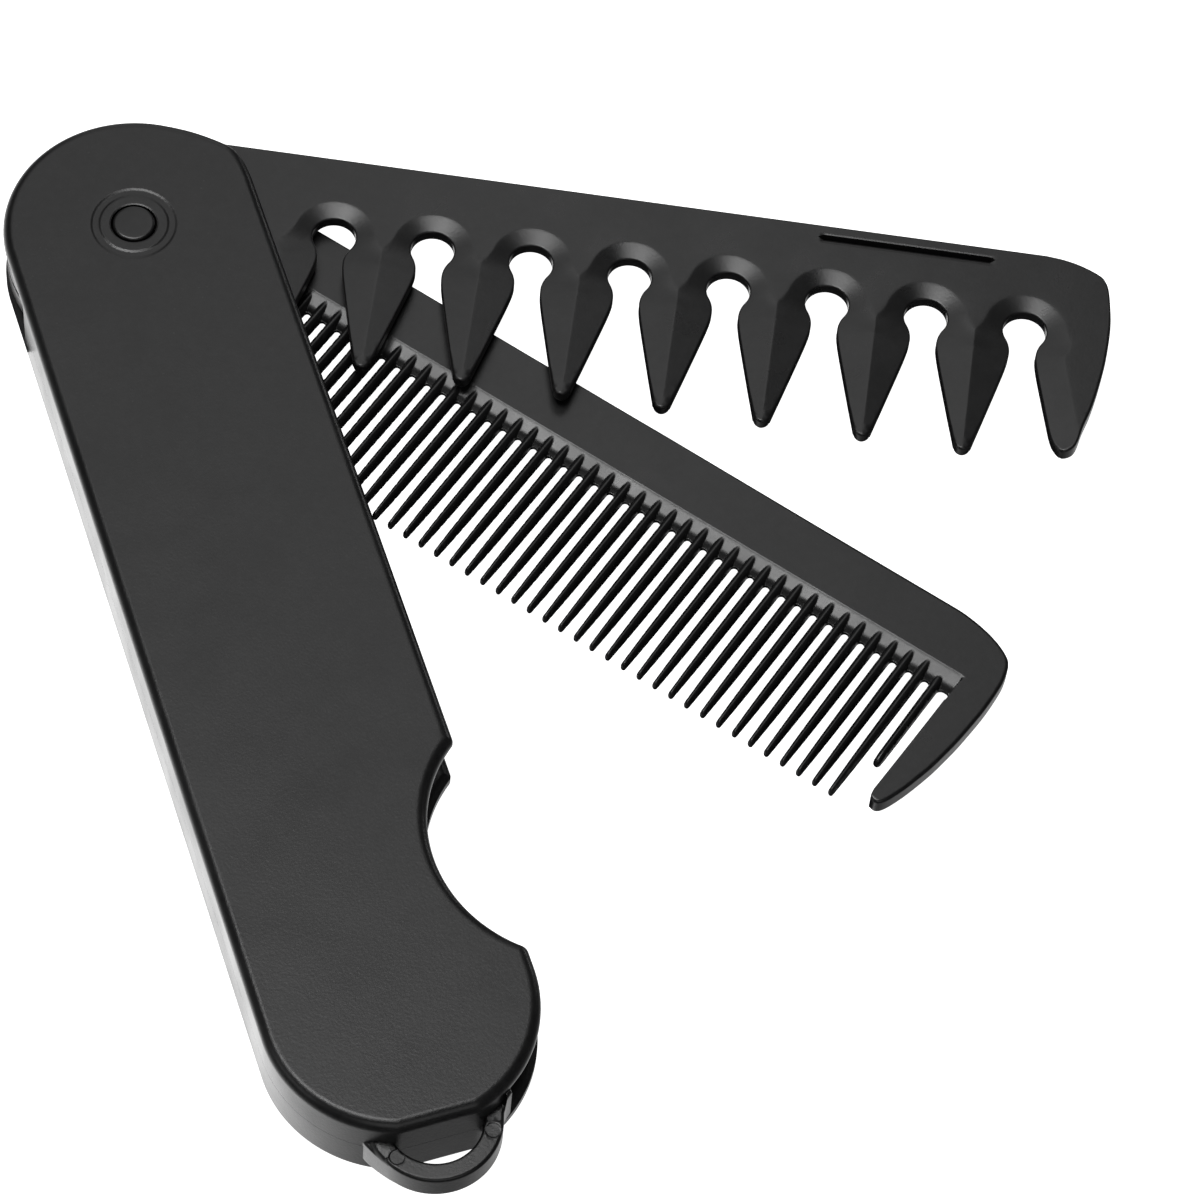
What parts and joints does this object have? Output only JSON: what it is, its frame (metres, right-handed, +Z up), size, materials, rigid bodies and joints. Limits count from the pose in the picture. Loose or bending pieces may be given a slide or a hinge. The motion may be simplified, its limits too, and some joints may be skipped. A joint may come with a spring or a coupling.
{
  "type": "folding comb",
  "caption": "Folding pocket comb: a slim matte black handle with a thumb notch and key-ring loop, from which a wide-toothed and a fine-toothed comb swing out on one pivot.",
  "frame": {"origin": "on the pivot axis at the flat underside of the bottom cover, the face the comb lies on", "axes": "+Z up through the pivot, towards the top cover; -Y along the handle to its key-ring loop; +X towards the open side, where the combs come out"},
  "size_m": [0.1134, 0.1299, 0.0097],
  "materials": {
    "handle_plastic": "fine-textured matte black moulded plastic",
    "comb_plastic": "fine-textured matte black moulded plastic, smoother on the teeth",
    "rivet_plastic": "matte black moulded plastic"
  },
  "bodies": {
    "handle": {"handle_top_cover": "handle_plastic", "handle_bottom_cover": "handle_plastic", "pivot_rivet": "rivet_plastic"},
    "wide_comb": {"wide_comb": "comb_plastic"},
    "fine_comb": {"fine_comb": "comb_plastic"}
  },
  "joints": [
    {"name": "wide_comb_hinge", "type": "hinge", "parent": "handle", "child": "wide_comb", "pos_m": [0, 0, 0.006], "axis": [0, 0, 1], "range_deg": [-64.61, 115.39]},
    {"name": "fine_comb_hinge", "type": "hinge", "parent": "handle", "child": "fine_comb", "pos_m": [0, 0, 0.0035], "axis": [0, 0, 1], "range_deg": [-37.92, 142.08]}
  ]
}
